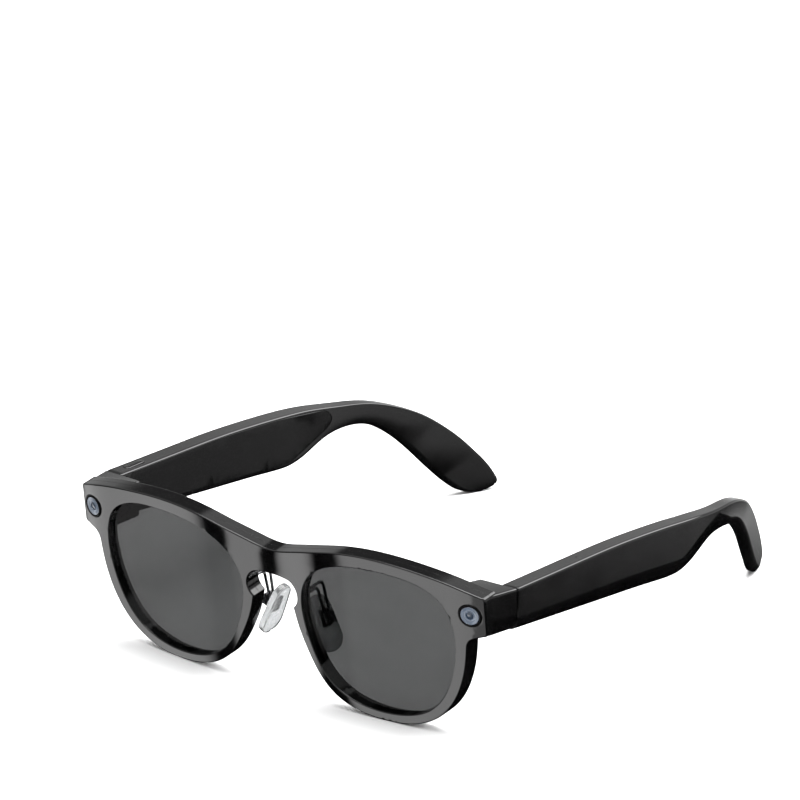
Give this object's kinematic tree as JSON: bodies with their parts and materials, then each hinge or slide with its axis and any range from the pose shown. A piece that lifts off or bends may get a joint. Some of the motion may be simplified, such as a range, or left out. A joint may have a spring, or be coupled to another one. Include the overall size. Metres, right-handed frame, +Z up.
{
  "type": "smart glasses",
  "caption": "Keyhole-bridge smart glasses with tinted lenses, corner cameras, folding temples that hold the electronics, and rocking nose pads.",
  "frame": {"origin": "on the resting plane, under the middle of the whole object with the temples open", "axes": "+X to the wearer's left, +Y back along the temples, +Z up"},
  "size_m": [0.1518, 0.1773, 0.0523],
  "materials": {
    "frame_plastic": "polished black acetate-like plastic",
    "temple_plastic": "polished black plastic",
    "tinted_lens": "neutral grey sun tint",
    "camera_ring": "polished black ring",
    "camera_glass": "blue-grey coated cover glass",
    "camera_barrel": "matte black barrel",
    "circuit": "solder-masked board",
    "flex_cable": "amber polyimide",
    "steel": "fine brushed",
    "silicone": "clear soft silicone",
    "battery_foil": "pouch foil",
    "speaker": "matte black",
    "gold_contact": "gold plated"
  },
  "bodies": {
    "front": {"front_shell": "frame_plastic", "rear_shell": "frame_plastic", "camera_flex": "flex_cable", "shell_screws": "steel", "lens_left": "tinted_lens", "camera_bezel_left": "camera_ring", "camera_window_left": "camera_glass", "camera_lens_left": "camera_barrel", "camera_board_left": "circuit", "hinge_front_leaf_left": "steel", "hinge_pin_left": "steel", "nose_arm_left": "steel", "nose_pad_box_left": "steel", "nose_pad_screw_left": "steel", "lens_right": "tinted_lens", "camera_bezel_right": "camera_ring", "camera_window_right": "camera_glass", "camera_lens_right": "camera_barrel", "camera_board_right": "circuit", "hinge_front_leaf_right": "steel", "hinge_pin_right": "steel", "nose_arm_right": "steel", "nose_pad_box_right": "steel", "nose_pad_screw_right": "steel"},
    "nose_pad_left": {"nose_pad_left": "silicone", "nose_pad_insert_left": "steel"},
    "temple_left": {"temple_shell_left": "temple_plastic", "temple_cover_left": "temple_plastic", "hinge_temple_leaf_left": "steel", "core_wire_left": "steel", "battery_left": "battery_foil", "circuit_board_left": "circuit", "speaker_left": "speaker", "microphone_left": "steel", "charging_contacts": "gold_contact"},
    "nose_pad_right": {"nose_pad_right": "silicone", "nose_pad_insert_right": "steel"},
    "temple_right": {"temple_shell_right": "temple_plastic", "temple_cover_right": "temple_plastic", "hinge_temple_leaf_right": "steel", "core_wire_right": "steel", "battery_right": "battery_foil", "circuit_board_right": "circuit", "speaker_right": "speaker", "microphone_right": "steel", "button_switch": "steel"},
    "power_button": {"power_button": "frame_plastic"}
  },
  "joints": [
    {"name": "temple_fold_left", "type": "hinge", "parent": "front", "child": "temple_left", "pos_m": [0.0693, -0.06901, 0.03965], "axis": [0, 0, 1], "range_deg": [0, 86]},
    {"name": "temple_fold_right", "type": "hinge", "parent": "front", "child": "temple_right", "pos_m": [-0.0693, -0.06901, 0.03965], "axis": [0, 0, -1], "range_deg": [0, 65]},
    {"name": "nose_pad_rock_left", "type": "hinge", "parent": "front", "child": "nose_pad_left", "pos_m": [0.01103, -0.07306, 0.02283], "axis": [0.2366, 0.9667, 0.098], "range_deg": [-7, 7]},
    {"name": "nose_pad_rock_right", "type": "hinge", "parent": "front", "child": "nose_pad_right", "pos_m": [-0.01112, -0.07236, 0.02287], "axis": [0, 1, 0], "range_deg": [-7, 7]},
    {"name": "power_button_press", "type": "slide", "parent": "temple_right", "child": "power_button", "axis": [0, 0, -1], "range_m": [0, 0.00035], "stiffness_N_per_m": 3000}
  ]
}
